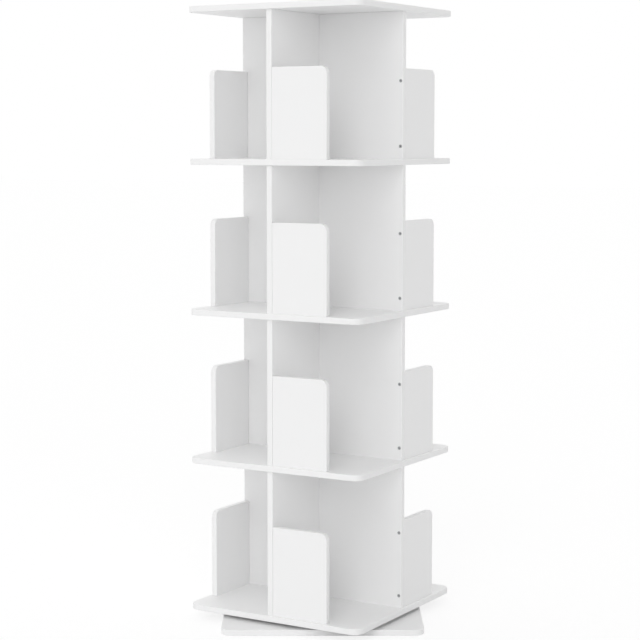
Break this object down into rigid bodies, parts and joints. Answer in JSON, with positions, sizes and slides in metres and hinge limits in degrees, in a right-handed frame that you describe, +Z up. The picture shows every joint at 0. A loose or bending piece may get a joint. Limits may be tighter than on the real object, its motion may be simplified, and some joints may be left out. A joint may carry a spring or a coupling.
{
  "type": "revolving bookcase",
  "caption": "Tall white revolving bookcase: open book bays in a pinwheel between square shelves, turning on a ball-bearing plate over a square base board.",
  "frame": {"origin": "centre of the base board's underside, on the axis that the case turns about", "axes": "+Z up; the case's dividers lie along X and Y, with +X to the right and -Y the front as pictured"},
  "size_m": [0.5402, 0.5402, 1.2472],
  "materials": {
    "white_board": "smooth white satin lacquer on 12 mm board",
    "pressed_steel": "zinc-plated pressed sheet",
    "zinc_screw": "bright zinc plate",
    "cage_brass": "plain strip, with steel balls in it"
  },
  "bodies": {
    "base": {"base_board": "white_board", "turntable_lower_plate": "pressed_steel", "base_screw_1": "zinc_screw", "base_screw_2": "zinc_screw", "base_screw_3": "zinc_screw", "base_screw_4": "zinc_screw"},
    "cage": {"ball_cage": "cage_brass"},
    "case": {"turntable_upper_plate": "pressed_steel", "plate_screw_1": "zinc_screw", "plate_screw_2": "zinc_screw", "plate_screw_3": "zinc_screw", "plate_screw_4": "zinc_screw", "bottom_shelf": "white_board", "shelf_2": "white_board", "shelf_3": "white_board", "shelf_4": "white_board", "top_panel": "white_board", "divider_1_right": "white_board", "divider_1_back": "white_board", "divider_1_left": "white_board", "divider_1_front": "white_board", "book_stop_1_right": "white_board", "book_stop_1_back": "white_board", "book_stop_1_left": "white_board", "book_stop_1_front": "white_board", "divider_2_right": "white_board", "divider_2_back": "white_board", "divider_2_left": "white_board", "divider_2_front": "white_board", "book_stop_2_right": "white_board", "book_stop_2_back": "white_board", "book_stop_2_left": "white_board", "book_stop_2_front": "white_board", "divider_3_right": "white_board", "divider_3_back": "white_board", "divider_3_left": "white_board", "divider_3_front": "white_board", "book_stop_3_right": "white_board", "book_stop_3_back": "white_board", "book_stop_3_left": "white_board", "book_stop_3_front": "white_board", "divider_4_right": "white_board", "divider_4_back": "white_board", "divider_4_left": "white_board", "divider_4_front": "white_board", "book_stop_4_right": "white_board", "book_stop_4_back": "white_board", "book_stop_4_left": "white_board", "book_stop_4_front": "white_board"}
  },
  "joints": [
    {"name": "case_spin", "type": "hinge", "parent": "base", "child": "case", "pos_m": [0, 0, 0.0156], "axis": [0, 0, 1], "continuous": true},
    {"name": "cage_spin", "type": "hinge", "parent": "base", "child": "cage", "pos_m": [0, 0, 0.0156], "axis": [0, 0, 1], "continuous": true}
  ],
  "couplings": [
    {"joint": "cage_spin", "follows": "case_spin", "ratio": 0.5}
  ]
}
